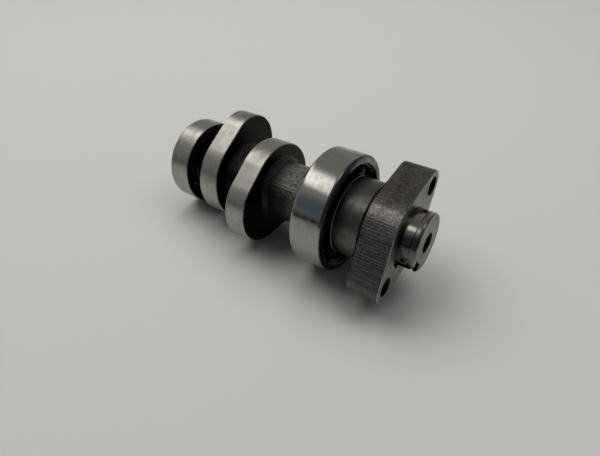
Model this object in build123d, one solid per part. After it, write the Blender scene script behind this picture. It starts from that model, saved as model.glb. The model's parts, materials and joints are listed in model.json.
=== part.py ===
from build123d import *
import os
from dataclasses import dataclass
from math import acos, asin, atan2, cos, degrees, hypot, radians, sin, tan

# Camshaft of a small engine, with its two ball bearings, its spacer collar and its sprocket flange.
# Working frame: the shaft's axis is X, x = 0 is the front face of the front bearing, and the flange
# is towards +X. Angles round the shaft run from +Y towards +Z. The finished assembly is then laid
# down as it rests, on the outer rings of its two bearings, with z = 0 at the floor.

# Front bearing: deep groove, 20 x 42 x 12
front_bore = 20.0
front_outside = 42.0
front_width = 12.0
front_corner = 1.1
front_pitch = 31.0
front_ball = 6.35
front_ball_count = 9
front_first_ball_angle = 42.5
front_cage_sheet = 0.7
front_rivet = 1.2

# Rear bearing: deep groove, 15 x 32 x 9
rear_bore = 15.0
rear_outside = 32.0
rear_width = 9.0
rear_corner = 0.5
rear_pitch = 23.5
rear_ball = 4.762
rear_ball_count = 9
rear_first_ball_angle = 34.0
rear_cage_sheet = 0.55
rear_rivet = 0.9

# Proportions of every bearing, as shares of its ball's diameter or of its width
inner_land_share = 0.25
outer_land_share = 0.30
recess_share = 0.433
recess_width_share = 0.10
groove_share = 0.52
cage_band_share = 0.19
rivet_head_share = 1.7
race_clearance = 0.04
pocket_clearance = 0.12

# Forging
shaft_diameter = 21.2
front_shoulder_diameter = 24.0
front_shoulder_length = 2.0
rear_shoulder_diameter = 18.8
rear_shoulder_length = 1.6
bearing_to_front_lobe = 18.4
lobe_gap = 8.8
rear_lobe_to_bearing = 7.3
lobe_root_fillet = 2.0
parting_ridge_width = 1.3
parting_ridge_height = 0.35
parting_angle = -46.0

# Lobes
lobe_width = 8.2
lobe_base_diameter = 33.6
lobe_edge_break = 0.3
front_lobe_lift = 6.05
front_lobe_nose_radius = 14.0
front_lobe_angle = -164.0
rear_lobe_lift = 6.4
rear_lobe_nose_radius = 11.8
rear_lobe_angle = 55.5

# Rear end of the shaft
rear_overhang = 0.5
rear_end_chamfer = 1.0
rear_centre_mouth = 5.0

# Spigot in front of the flange
spigot_diameter = 19.6
spigot_length = 6.2
spigot_chamfer = 0.5
groove_from_flange = 3.9
groove_width = 0.9
groove_depth = 0.5
front_centre_mouth = 7.2
centre_pilot = 2.5
centre_pilot_depth = 3.0
centre_included_angle = 60.0

# Spacer collar, which stands a little below the inner ring that it presses on
collar_below_ring = 0.05
collar_length = 9.4
collar_chamfer = 0.4

# Sprocket flange
flange_thickness = 11.6
flange_core_diameter = 28.4
flange_tip_radius = 5.5
flange_angle = 34.7
flange_back_chamfer = 0.6
flange_front_chamfer = 0.25
bolt_circle = 36.6
bolt_hole = 6.0
bolt_hole_chamfer = 0.4

# Parallel key between the shaft and the flange
key_width = 5.0
key_height = 4.0
key_depth_in_shaft = 3.0
key_top_clearance = 0.1
key_recess = 1.0


@dataclass
class Bearing:
    """Deep-groove ball bearing about the X axis; its sizes are diameters unless they say otherwise."""
    front_face: float
    bore: float
    outside: float
    width: float
    corner: float
    pitch: float
    ball: float
    ball_count: int
    first_ball_angle: float
    cage_sheet: float
    rivet: float

    def __post_init__(self):
        self.back_face = self.front_face - self.width
        self.middle = self.front_face - self.width / 2
        self.inner_land_radius = self.pitch / 2 - inner_land_share * self.ball
        self.outer_land_radius = self.pitch / 2 + outer_land_share * self.ball
        self.recess_radius = self.pitch / 2 + recess_share * self.ball
        self.ball_angles = [self.first_ball_angle + i * 360 / self.ball_count for i in range(self.ball_count)]
        self.rivet_angles = [angle + 180 / self.ball_count for angle in self.ball_angles]

    def ball_centre(self, angle):
        return Rot(X=angle) * Pos(self.middle, self.pitch / 2, 0)


# Axial layout
front = Bearing(0.0, front_bore, front_outside, front_width, front_corner, front_pitch, front_ball,
                front_ball_count, front_first_ball_angle, front_cage_sheet, front_rivet)
front_lobe_front = front.back_face - bearing_to_front_lobe
front_lobe_back = front_lobe_front - lobe_width
rear_lobe_front = front_lobe_back - lobe_gap
rear_lobe_back = rear_lobe_front - lobe_width
rear = Bearing(rear_lobe_back - rear_lobe_to_bearing, rear_bore, rear_outside, rear_width, rear_corner,
               rear_pitch, rear_ball, rear_ball_count, rear_first_ball_angle, rear_cage_sheet, rear_rivet)
rear_end = rear.back_face - rear_overhang
flange_back = front.front_face + collar_length
flange_front = flange_back + flange_thickness
front_end = flange_front + spigot_length
groove_back = flange_front + groove_from_flange
groove_front = groove_back + groove_width
key_direction = flange_angle + 180


def axial_rectangle(x_from, x_to, radius_from, radius_to):
    """Rectangle in the plane of x and radius, for a turned section."""
    centre = Pos((x_from + x_to) / 2, (radius_from + radius_to) / 2)
    return centre * Rectangle(abs(x_to - x_from), radius_to - radius_from)


def turned(section):
    return revolve(section, Axis.X)


def across(x, angle=0.0):
    """Plane across the shaft at x, with its own x direction at the given angle round the shaft."""
    return Plane.YZ.offset(x) * Rot(Z=angle)


def tipped_outline(core_radius, tip_radius, reach, tips):
    """Round core with equally spaced round tips, each joined to it by two tangent flanks."""
    half = degrees(acos((core_radius - tip_radius) / reach))
    step = 360 / tips
    edges = []
    for tip in range(tips):
        angle = tip * step
        following = angle + step
        tip_centre = polar(reach, angle)
        next_centre = polar(reach, following)
        edges.append(CenterArc(tip_centre, tip_radius, angle - half, 2 * half))
        edges.append(Line(tip_centre + polar(tip_radius, angle + half), polar(core_radius, angle + half)))
        edges.append(CenterArc((0, 0), core_radius, angle + half, step - 2 * half))
        edges.append(Line(polar(core_radius, following - half),
                          next_centre + polar(tip_radius, following - half)))
    return make_face(edges)


def polar(radius, angle):
    return Vector(radius * cos(radians(angle)), radius * sin(radians(angle)))


def outer_ring(bearing):
    outside_radius = bearing.outside / 2
    section = axial_rectangle(bearing.back_face, bearing.front_face, bearing.outer_land_radius, outside_radius)
    section = fillet(section.vertices().group_by(Axis.Y)[-1], bearing.corner)
    section -= raceway(bearing)
    recess_width = recess_width_share * bearing.width
    for face, inward in ((bearing.front_face, -1), (bearing.back_face, 1)):
        section -= axial_rectangle(face, face + inward * recess_width, 0, bearing.recess_radius)
    return turned(section)


def inner_ring(bearing):
    section = axial_rectangle(bearing.back_face, bearing.front_face, bearing.bore / 2, bearing.inner_land_radius)
    section = chamfer(section.vertices().group_by(Axis.Y)[0], bearing.corner / 2)
    section -= raceway(bearing)
    return turned(section)


def raceway(bearing):
    """Section of the space that the balls run in: both raceways belong to one thin-walled tube."""
    groove_radius = groove_share * bearing.ball
    deepest = bearing.ball / 2 + race_clearance
    centre_shift = groove_radius - deepest
    below = Pos(bearing.middle, bearing.pitch / 2 + centre_shift) * Circle(groove_radius)
    above = Pos(bearing.middle, bearing.pitch / 2 - centre_shift) * Circle(groove_radius)
    return below & above


def cage_front_half(bearing):
    """Pressed front half of the ribbon cage: a flat ribbon that domes over every ball."""
    half_band = cage_band_share * bearing.ball
    pocket_radius = bearing.ball / 2 + pocket_clearance
    ring = Circle(bearing.pitch / 2 + half_band) - Circle(bearing.pitch / 2 - half_band)
    middle = across(bearing.middle)
    band = extrude(middle * ring, bearing.width / 2)
    dome = Sphere(pocket_radius + bearing.cage_sheet)
    ribbon = extrude(middle * ring, bearing.cage_sheet)
    ribbon += [bearing.ball_centre(angle) * dome & band for angle in bearing.ball_angles]
    pockets = [bearing.ball_centre(angle) * Sphere(pocket_radius) for angle in bearing.ball_angles]
    holes = [bearing.ball_centre(angle) * rivet_shank(bearing) for angle in bearing.rivet_angles]
    return ribbon - (pockets + holes)


def cage_rear_half(bearing):
    """The same stamping turned over, about the radius through the first ball."""
    first_ball = Pos(bearing.middle, 0, 0) * Rot(X=bearing.first_ball_angle)
    return first_ball * Rot(Y=180) * first_ball.inverse() * cage_front_half(bearing)


def rivet_shank(bearing):
    return Cylinder(bearing.rivet / 2, 2 * bearing.cage_sheet, rotation=(0, 90, 0))


def cage_rivets(bearing):
    """Every rivet of one cage: a shank through both halves with a coned head on each side."""
    shank_radius = bearing.rivet / 2
    head_radius = shank_radius * rivet_head_share
    head_end = bearing.cage_sheet + shank_radius
    half = Polyline((0, 0), (0, shank_radius), (bearing.cage_sheet, shank_radius),
                    (bearing.cage_sheet, head_radius), (head_end, shank_radius), (head_end, 0), close=True)
    rivet = turned(make_face(half) + mirror(make_face(half), Plane.YZ))
    return Compound([bearing.ball_centre(angle) * rivet for angle in bearing.rivet_angles])


def bearing_parts(name, bearing):
    parts = {
        f"{name}_outer_ring": outer_ring(bearing),
        f"{name}_inner_ring": inner_ring(bearing),
        f"{name}_cage_front": cage_front_half(bearing),
        f"{name}_cage_rear": cage_rear_half(bearing),
        f"{name}_cage_rivets": cage_rivets(bearing),
    }
    for number, angle in enumerate(bearing.ball_angles, start=1):
        parts[f"{name}_ball_{number}"] = bearing.ball_centre(angle) * Sphere(bearing.ball / 2)
    return parts


def lobe(x_back, lift, nose_radius, angle):
    base_radius = lobe_base_diameter / 2
    outline = tipped_outline(base_radius, nose_radius, base_radius + lift - nose_radius, 1)
    blank = extrude(outline, lobe_width)
    blank = chamfer(blank.faces().filter_by(Axis.Z).edges(), lobe_edge_break)
    return across(x_back, angle) * blank


def centre_hole(face, mouth, inward):
    """Lathe centre drilled into an end face; inward is the sign of x that points into the shaft."""
    cone_depth = (mouth - centre_pilot) / 2 / tan(radians(centre_included_angle / 2))
    section = Polyline((face, 0), (face, mouth / 2), (face + inward * cone_depth, centre_pilot / 2),
                       (face + inward * (cone_depth + centre_pilot_depth), centre_pilot / 2),
                       (face + inward * (cone_depth + centre_pilot_depth), 0), close=True)
    return turned(make_face(section))


def turned_shaft():
    front_radius = front.bore / 2
    spigot_radius = spigot_diameter / 2
    rear_radius = rear.bore / 2
    shaft_radius = shaft_diameter / 2
    front_shoulder = front.back_face - front_shoulder_length
    rear_shoulder = rear.front_face + rear_shoulder_length
    outline = Polyline(
        (rear_end, 0),
        (rear_end, rear_radius - rear_end_chamfer),
        (rear_end + rear_end_chamfer, rear_radius),
        (rear.front_face, rear_radius),
        (rear.front_face, rear_shoulder_diameter / 2),
        (rear_shoulder, rear_shoulder_diameter / 2),
        (rear_shoulder, shaft_radius),
        (front_shoulder, shaft_radius),
        (front_shoulder, front_shoulder_diameter / 2),
        (front.back_face, front_shoulder_diameter / 2),
        (front.back_face, front_radius),
        (flange_front, front_radius),
        (flange_front, spigot_radius),
        (groove_back, spigot_radius),
        (groove_back, spigot_radius - groove_depth),
        (groove_front, spigot_radius - groove_depth),
        (groove_front, spigot_radius),
        (front_end - spigot_chamfer, spigot_radius),
        (front_end, spigot_radius - spigot_chamfer),
        (front_end, 0),
        close=True,
    )
    return turned(make_face(outline))


def keyway_cutter():
    """Slot for the key, milled from the front end and stopped under the collar with a round end."""
    length = front_end - flange_back
    floor_radius = front.bore / 2 - key_depth_in_shaft
    slot = Rectangle(length, key_width) + Pos(-length / 2, 0) * Circle(key_width / 2)
    floor = Plane((flange_back + length / 2, floor_radius, 0), x_dir=(1, 0, 0), z_dir=(0, 1, 0))
    return Rot(X=key_direction) * extrude(floor * slot, 2 * key_depth_in_shaft)


def parting_ridges(x_from, x_to):
    """Trimmed flash of the forging dies: a low ridge on each side of the bare shaft."""
    reach = shaft_diameter + 2 * parting_ridge_height
    bar = Box(x_to - x_from, reach, parting_ridge_width)
    return Pos((x_from + x_to) / 2, 0, 0) * Rot(X=parting_angle) * bar


def camshaft():
    shaft = turned_shaft()
    shaft += lobe(front_lobe_back, front_lobe_lift, front_lobe_nose_radius, front_lobe_angle)
    shaft += lobe(rear_lobe_back, rear_lobe_lift, rear_lobe_nose_radius, rear_lobe_angle)
    lobe_faces = (front_lobe_front, front_lobe_back, rear_lobe_front, rear_lobe_back)
    roots = [
        edge for edge in shaft.edges().filter_by(GeomType.CIRCLE)
        if abs(edge.radius - shaft_diameter / 2) < 0.001
        and any(abs(edge.arc_center.X - face) < 0.001 for face in lobe_faces)
    ]
    shaft = fillet(roots, lobe_root_fillet)
    shaft += parting_ridges(front_lobe_front, front.back_face - front_shoulder_length)
    shaft += parting_ridges(rear_lobe_front, front_lobe_back)
    shaft -= centre_hole(front_end, front_centre_mouth, -1)
    shaft -= centre_hole(rear_end, rear_centre_mouth, 1)
    return shaft - keyway_cutter()


def spacer_collar():
    outside_radius = front.inner_land_radius - collar_below_ring
    section = axial_rectangle(front.front_face, flange_back, front.bore / 2, outside_radius)
    section = chamfer(section.vertices().group_by(Axis.X)[-1].sort_by(Axis.Y)[-1], collar_chamfer)
    return turned(section)


def sprocket_flange():
    outline = tipped_outline(flange_core_diameter / 2, flange_tip_radius, bolt_circle / 2, 2)
    blank = extrude(outline, flange_thickness)
    blank = chamfer(blank.faces().sort_by(Axis.Z)[0].edges(), flange_back_chamfer)
    blank = chamfer(blank.faces().sort_by(Axis.Z)[-1].edges(), flange_front_chamfer)
    key_top = front.bore / 2 - key_depth_in_shaft + key_height + key_top_clearance
    bore = Circle(front.bore / 2) + Pos(-key_top / 2, 0) * Rectangle(key_top, key_width)
    blank -= extrude(bore, flange_thickness)
    for side in (-1, 1):
        blank -= Pos(side * bolt_circle / 2, 0, 0) * bolt_hole_cutter()
    return across(flange_back, flange_angle) * blank


def bolt_hole_cutter():
    mouth = bolt_hole / 2 + bolt_hole_chamfer
    outline = Polyline((0, 0), (mouth, 0), (bolt_hole / 2, bolt_hole_chamfer),
                       (bolt_hole / 2, flange_thickness - bolt_hole_chamfer), (mouth, flange_thickness),
                       (0, flange_thickness), close=True)
    return revolve(Plane.XZ * make_face(outline), Axis.Z)


def flange_key():
    length = flange_thickness - key_recess
    floor_radius = front.bore / 2 - key_depth_in_shaft
    key = Pos(flange_back + length / 2, floor_radius + key_height / 2, 0) * Box(length, key_height, key_width)
    return Rot(X=key_direction) * key


def resting_tilt():
    """Angle by which the front end stands up when both outer rings touch the floor."""
    run = (front.back_face + front.corner) - (rear.back_face + rear.corner)
    drop = (front.outside / 2 - front.corner) - (rear.outside / 2 - rear.corner)
    return degrees(atan2(drop, run) + asin((front.corner - rear.corner) / hypot(run, drop)))


def resting_place(parts):
    """Lays the shaft down, with the floor at z = 0 and the box of the whole centred over the origin."""
    tilt = resting_tilt()
    contact_x = front.back_face + front.corner
    contact_radius = front.outside / 2 - front.corner
    axis_height = contact_radius * cos(radians(tilt)) + front.corner - contact_x * sin(radians(tilt))
    laid = Pos(0, 0, axis_height) * Rot(Y=-tilt)
    box = Compound([laid * part for part in parts.values()]).bounding_box()
    return Pos(-box.center().X, -box.center().Y, 0) * laid


def all_parts():
    parts = {
        "camshaft": camshaft(),
        "spacer_collar": spacer_collar(),
        "sprocket_flange": sprocket_flange(),
        "flange_key": flange_key(),
    }
    parts.update(bearing_parts("front", front))
    parts.update(bearing_parts("rear", rear))
    return parts


parts = all_parts()
place = resting_place(parts)
os.makedirs("parts", exist_ok=True)
for node, part in parts.items():
    export_step(place * part, f"parts/{node}.step")
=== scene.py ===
import json
from math import acos, atan2, cos, degrees, pi, radians, sin, sqrt, tan
from types import SimpleNamespace as Sizes

import bmesh
import bpy
import numpy as np
from mathutils import Matrix, Vector, noise


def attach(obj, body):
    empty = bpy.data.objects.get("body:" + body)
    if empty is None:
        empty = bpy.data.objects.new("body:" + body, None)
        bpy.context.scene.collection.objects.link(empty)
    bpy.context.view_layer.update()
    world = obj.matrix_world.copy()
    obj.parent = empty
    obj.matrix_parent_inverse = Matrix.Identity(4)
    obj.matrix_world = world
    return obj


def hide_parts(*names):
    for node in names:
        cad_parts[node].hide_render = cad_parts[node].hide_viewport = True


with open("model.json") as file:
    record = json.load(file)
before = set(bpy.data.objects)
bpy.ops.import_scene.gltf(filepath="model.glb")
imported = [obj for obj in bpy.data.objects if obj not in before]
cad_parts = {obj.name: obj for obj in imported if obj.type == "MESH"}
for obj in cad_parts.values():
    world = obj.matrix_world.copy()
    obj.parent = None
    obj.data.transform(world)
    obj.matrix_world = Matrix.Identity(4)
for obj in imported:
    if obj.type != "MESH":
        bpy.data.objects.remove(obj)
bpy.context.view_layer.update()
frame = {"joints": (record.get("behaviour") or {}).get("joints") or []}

MM_PER_M = 1000

# ---- driving dimensions, millimetres and degrees
# They are measured along and round the shaft: x = 0 is the front face of the front bearing, and angles run
# from +Y towards +Z.

# bearings, and the shares of a ball's diameter or a ring's width that make up their sections
FRONT = Sizes(face=0.0, bore=20.0, outside=42.0, width=12.0, corner=1.1, pitch=31.0, ball=6.35,
              first_ball=42.5, sheet=0.7, rivet=1.2)
REAR = Sizes(face=-62.9, bore=15.0, outside=32.0, width=9.0, corner=0.5, pitch=23.5, ball=4.762,
             first_ball=34.0, sheet=0.55, rivet=0.9)
BALLS = 9
INNER_LAND_SHARE = 0.25
OUTER_LAND_SHARE = 0.30
RECESS_SHARE = 0.433
RECESS_WIDTH_SHARE = 0.10
GROOVE_SHARE = 0.52
CAGE_BAND_SHARE = 0.19
RACE_CLEARANCE = 0.04
POCKET_CLEARANCE = 0.12
LAND_EDGE = 0.1
RECESS_EDGE = 0.12
INNER_RING_EDGE = 0.15
CORNER_BRIGHT_SHARE = 0.25
RIVET_HEAD_SHARE = 0.85

# forging
SHAFT_R = 10.6
FRONT_SHOULDER_R = 12.0
FRONT_SHOULDER_LENGTH = 2.0
FRONT_SHOULDER_EDGE = 0.2
REAR_SHOULDER_R = 9.4
REAR_SHOULDER_LENGTH = 1.6
BEARING_TO_FRONT_LOBE = 18.4
LOBE_GAP = 8.8
LOBE_WIDTH = 8.2
LOBE_BASE_R = 16.8
LOBE_EDGE = 0.3
ROOT_FILLET = 2.0
FRONT_LOBE = Sizes(lift=6.05, nose=14.0, angle=-164.0)
REAR_LOBE = Sizes(lift=6.4, nose=11.8, angle=55.5)
RIDGE_WIDTH = 1.3
RIDGE_HEIGHT = 0.35
RIDGE_ANGLE = -46.0
RIDGE_SLOPE = 0.5
RIDGE_TRIM_SHARE = 0.55

# ends of the shaft
REAR_OVERHANG = 0.5
REAR_END_CHAMFER = 1.0
REAR_CENTRE_R = 2.5
SPIGOT_R = 9.95
SPIGOT_LENGTH = 6.2
SPIGOT_CHAMFER = 0.65
ROOT_RELIEF = 0.2
JOURNAL_STOP = 1.0
GROOVE_FROM_FLANGE = 3.9
GROOVE_WIDTH = 0.9
GROOVE_DEPTH = 0.5
GROOVE_EDGE = 0.1
FRONT_CENTRE_R = 3.6
PILOT_R = 1.25
PILOT_DEPTH = 3.0
CENTRE_HALF_ANGLE = 30.0
HOLE_END_R = 0.02

# collar, flange and key
COLLAR_LENGTH = 9.4
COLLAR_BELOW_RING = 0.05
COLLAR_CHAMFER = 0.4
COLLAR_REAR_CHAMFER = 0.3
FLANGE_THICKNESS = 11.6
FLANGE_CORE_R = 14.2
FLANGE_TIP_R = 5.5
FLANGE_ANGLE = 34.7
FLANGE_BACK_CHAMFER = 0.6
FLANGE_FRONT_CHAMFER = 0.25
BOLT_CIRCLE_R = 18.3
BOLT_MINOR_R = 3.0
BOLT_PITCH = 1.0
THREAD_DEPTH = 0.42
THREAD_OVERRUN = 0.5
BOLT_CHAMFER = 0.4
BOLT_CHAMFER_FLARE = 0.3
KEY_WIDTH = 5.0
KEY_HEIGHT = 4.0
KEY_DEPTH = 3.0
KEY_TOP_CLEARANCE = 0.1
KEY_SIDE_CLEARANCE = 0.15
KEY_RECESS = 1.0
KEY_EDGE = 0.25
CUTTER_OVERRUN = 1.0

# finish of the flange: its scallops and milling marks fade as they rise, over MARKS_FADE up to MARKS_END
SCALLOP_PITCH = 0.9
SCALLOP_DEPTH = 0.09
TEAR_DEPTH = 0.05
MARKS_END = 12.5
MARKS_FADE = 3.5

# finish of the forging: roughness of the bare skin, its mean, peaks and value in the fillets as shares of
# that, and how far the black scale, with painted shade beside it, reaches in front of the front lobe
FORGE_ROUGHNESS = 0.16
FORGE_MEAN_SHARE = 0.2
FORGE_PEAK_SHARE = 0.4
FILLET_ROUGH_SHARE = 0.6
SCALE_REACH = 9.0

# the meshes: points round a turned piece, steps in millimetres, numbers of steps and rows, and the angles
# between faces up to which they are shaded as one smooth surface
AROUND = 288
INNER_RING_AROUND = 180
CAGE_AROUND = 360
BALL_AROUND = 48
RIVET_AROUND = 20
THREAD_AROUND = 48
SKIN_STEP = 0.3
FINE_SKIN_STEP = 0.22
OUTLINE_STEP = 0.11
FILLET_STEPS = 6
LOBE_SIDE_STEPS = 9
LOBE_RIM_STEPS = 15
FLANK_ROWS = 30
RACE_POINTS = 25
CAGE_ROWS = 9
SMOOTH_ANGLE = 38.0
CUT_SMOOTH_ANGLE = 32.0
BALL_SMOOTH_ANGLE = 80.0

# places along the shaft
front_back = FRONT.face - FRONT.width
lobe1_front = front_back - BEARING_TO_FRONT_LOBE
lobe1_back = lobe1_front - LOBE_WIDTH
lobe2_front = lobe1_back - LOBE_GAP
lobe2_back = lobe2_front - LOBE_WIDTH
rear_back = REAR.face - REAR.width
rear_end = rear_back - REAR_OVERHANG
flange_back = FRONT.face + COLLAR_LENGTH
flange_front = flange_back + FLANGE_THICKNESS
front_end = flange_front + SPIGOT_LENGTH
groove_back = flange_front + GROOVE_FROM_FLANGE
groove_front = groove_back + GROOVE_WIDTH
key_angle = FLANGE_ANGLE + 180.0

# ---- the shaft's place in the row
spin = next(j for j in frame["joints"] if j["name"] == "camshaft_spin")
axis = Vector(spin["axis"]).normalized()
across = Vector((0.0, 1.0, 0.0))
upward = axis.cross(across).normalized()
# the joint stands at the middle of the front bearing's width
origin = Vector(spin["pos_m"]) + axis * (FRONT.width / 2 - FRONT.face) / MM_PER_M
turn = Matrix((axis, across, upward)).transposed()
tilt = turn.to_euler()


def to_row(points):
    """Points along and round the shaft, in millimetres, as points of the row, in metres."""
    return np.asarray(points, float) @ np.array(turn).T / MM_PER_M + np.array(origin)


def polar(x, r, angle):
    """Points x along the shaft, r from its axis and at an angle round it."""
    a = np.radians(angle)
    x, r, a = np.broadcast_arrays(x, r, a)
    return np.stack([x, r * np.cos(a), r * np.sin(a)], -1)


# ---- mesh helpers
def new_object(name, points, faces, materials, zones=None, smooth_angle=SMOOTH_ANGLE):
    """Mesh object from points in the shaft's millimetres; zones says which material each face takes."""
    mesh = bpy.data.meshes.new(name)
    mesh.from_pydata([tuple(p) for p in to_row(points)], [], faces)
    for material in materials:
        mesh.materials.append(material)
    if zones is not None:
        mesh.polygons.foreach_set("material_index", zones)
    mesh.validate()
    editable = bmesh.new()
    editable.from_mesh(mesh)
    bmesh.ops.recalc_face_normals(editable, faces=editable.faces)
    editable.to_mesh(mesh)
    editable.free()
    mesh.shade_smooth()
    mesh.set_sharp_from_angle(angle=radians(smooth_angle))
    obj = bpy.data.objects.new(name, mesh)
    bpy.context.scene.collection.objects.link(obj)
    return obj


def grid(rings, closed_along=False, zones=None):
    """Points and faces of a skin over rings of equal length, which is closed along the rings or has a flat
    cap at either end; zones gives a material to each band."""
    rings = np.asarray(rings)
    rows, count = rings.shape[:2]
    points = rings.reshape(-1, 3)
    faces, material = [], []
    bands = rows if closed_along else rows - 1
    if zones is None:
        zones = [0] * bands
    for i in range(bands):
        a, b = i * count, ((i + 1) % rows) * count
        for j in range(count):
            k = (j + 1) % count
            faces.append((a + j, a + k, b + k, b + j))
        material += [zones[i]] * count
    if not closed_along:
        faces.append(tuple(range(count - 1, -1, -1)))
        faces.append(tuple(range((rows - 1) * count, rows * count)))
        material += [zones[0], zones[-1]]
    return points, faces, material


def solid(name, rings, steel, smooth_angle=SMOOTH_ANGLE):
    """Closed shape of one steel over rings."""
    points, faces, _ = grid(rings)
    return new_object(name, points, faces, [steel], smooth_angle=smooth_angle)


def cut(obj, *cutters):
    """Takes closed shapes out of obj, and keeps the materials of both."""
    for cutter in cutters:
        modifier = obj.modifiers.new("cut", "BOOLEAN")
        modifier.operation = "DIFFERENCE"
        modifier.solver = "EXACT"
        modifier.object = cutter
        modifier.material_mode = "TRANSFER"
    bpy.context.view_layer.update()
    result = bpy.data.meshes.new_from_object(obj.evaluated_get(bpy.context.evaluated_depsgraph_get()))
    obj.modifiers.clear()
    obj.data = result
    result.shade_smooth()
    result.set_sharp_from_angle(angle=radians(CUT_SMOOTH_ANGLE))
    for cutter in cutters:
        bpy.data.objects.remove(cutter)


def noise_at(points, scale, octaves, seed):
    """Smooth noise from about -1 to 1 at each point, with features of about scale millimetres."""
    shift = Vector((seed, seed * 1.7, seed * 2.3))
    return np.array([noise.fractal(Vector(p) / scale + shift, 0.8, 2.0, octaves) for p in points])


def after(start, end, count):
    """Evenly spaced values that follow start, up to and including end."""
    return np.linspace(start, end, count + 1)[1:]


def rotated(points, angle):
    """Points (y, z) of a section, turned round the shaft."""
    a = radians(angle)
    return np.asarray(points) @ np.array([[cos(a), -sin(a)], [sin(a), cos(a)]]).T


def corner(cx, cr, radius, start, end, steps):
    """Rounded corner of a turned section, as (x, r) points round a centre."""
    angles = np.radians(np.linspace(start, end, steps))
    return [(cx + radius * cos(a), cr + radius * sin(a)) for a in angles]


def along(a, b, steps):
    """Evenly spaced (x, r) points from a up to but not including b."""
    return [tuple(np.array(a) + (np.array(b) - np.array(a)) * i / steps) for i in range(steps)]


def turned(name, section, materials, zones=None, around=AROUND):
    """Closed section of (x, r) points turned round the shaft."""
    angles = np.arange(around) * 360 / around
    rings = [polar(x, r, angles) for x, r in section]
    points, faces, material = grid(rings, closed_along=True, zones=zones)
    return new_object(name, points, faces, materials, material)


# ---- shader helpers
def shade(colour, factor):
    """A darker or lighter shade of a colour."""
    return tuple(min(1, c * factor) for c in colour)


class Nodes:
    """Short calls that add and link the nodes of one tree."""

    def __init__(self, tree):
        self.nodes = tree.nodes
        self.links = tree.links

    def put(self, socket, value):
        """Links an output to the socket, or sets the socket's own value."""
        if isinstance(value, bpy.types.NodeSocket):
            self.links.new(value, socket)
        else:
            socket.default_value = value

    def node(self, kind, settings=None, **inputs):
        """A new node with its settings and inputs; an underscore stands for a space in an input's name."""
        n = self.nodes.new(kind)
        for key, value in (settings or {}).items():
            setattr(n, key, value)
        for key, value in inputs.items():
            self.put(n.inputs[key.replace("_", " ")], value)
        return n

    def math(self, operation, a, b=0.0, c=0.0):
        """Result of one operation on up to three values."""
        n = self.node("ShaderNodeMath", {"operation": operation})
        for socket, value in zip(n.inputs, (a, b, c)):
            self.put(socket, value)
        return n.outputs[0]

    def ramp(self, value, low, high, to_low=0.0, to_high=1.0):
        """Smooth step from to_low to to_high while the value goes from low to high; low may be the larger."""
        n = self.node("ShaderNodeMapRange", {"interpolation_type": "SMOOTHSTEP"}, Value=value,
                      From_Min=low, From_Max=high, To_Min=to_low, To_Max=to_high)
        return n.outputs[0]


class Shader(Nodes):
    """One procedural material."""

    def __init__(self, name, colour, roughness, metallic=1.0):
        self.material = bpy.data.materials.new(name)
        self.material.use_nodes = True
        super().__init__(self.material.node_tree)
        self.surface = self.nodes["Principled BSDF"]
        for key, value in (("Base Color", (*colour, 1)), ("Roughness", roughness), ("Metallic", metallic)):
            self.surface.inputs[key].default_value = value
        self.colour = colour
        self.normal = None
        self.position = None

    def place(self):
        """Millimetres along and round the shaft, at rest and in any pose."""
        if self.position is None:
            coordinates = self.node("ShaderNodeTexCoord").outputs["Object"]
            mapping = self.node("ShaderNodeMapping", {"vector_type": "TEXTURE"}, Vector=coordinates,
                                Location=tuple(origin), Rotation=tuple(tilt), Scale=(1 / MM_PER_M,) * 3)
            self.position = mapping.outputs[0]
            split = self.node("ShaderNodeSeparateXYZ", Vector=self.position)
            self.x, self.y, self.z = split.outputs
            squares = self.math("MULTIPLY_ADD", self.y, self.y, self.math("MULTIPLY", self.z, self.z))
            self.r = self.math("SQRT", squares)
        return self.position

    def stretched(self, x, y=None, z=None):
        """The place, scaled so that a unit of noise is 1/x millimetres; one number scales all three ways."""
        y, z = (x, x) if y is None else (y, z)
        n = self.node("ShaderNodeVectorMath", {"operation": "MULTIPLY"})
        self.put(n.inputs[0], self.place())
        self.put(n.inputs[1], (x, y, z))
        return n.outputs[0]

    def round_shaft(self, along_scale, around_scale, radial_scale=0.0):
        """Coordinates whose detail is fine along the shaft, or away from its axis, and drawn out round it."""
        self.place()
        n = self.node("ShaderNodeCombineXYZ")
        self.put(n.inputs[0], self.math("MULTIPLY_ADD", self.r, radial_scale,
                                        self.math("MULTIPLY", self.x, along_scale)))
        self.put(n.inputs[1], self.math("MULTIPLY", self.math("DIVIDE", self.y, self.r), around_scale))
        self.put(n.inputs[2], self.math("MULTIPLY", self.math("DIVIDE", self.z, self.r), around_scale))
        return n.outputs[0]

    def noise(self, vector, detail, roughness=0.55):
        """Cloudy noise between 0 and 1."""
        n = self.node("ShaderNodeTexNoise", Vector=vector, Scale=1.0, Detail=detail, Roughness=roughness)
        return n.outputs["Fac"]

    def tint(self, factor, colour):
        """Mixes another colour into the base colour by a pattern."""
        n = self.node("ShaderNodeMix", {"data_type": "RGBA"})
        self.put(n.inputs[0], factor)
        current = self.surface.inputs["Base Color"]
        self.put(n.inputs[6], current.links[0].from_socket if current.is_linked else (*self.colour, 1))
        self.put(n.inputs[7], (*colour, 1))
        self.put(current, n.outputs[2])

    def rough(self, value):
        """Takes the roughness from a pattern."""
        self.put(self.surface.inputs["Roughness"], value)

    def bump(self, height, distance_mm, strength):
        """Adds one more relief on top of those before it."""
        n = self.node("ShaderNodeBump", Height=height, Distance=distance_mm / MM_PER_M, Strength=strength)
        if self.normal is not None:
            self.put(n.inputs["Normal"], self.normal)
        self.normal = n.outputs[0]
        self.put(self.surface.inputs["Normal"], self.normal)


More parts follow.
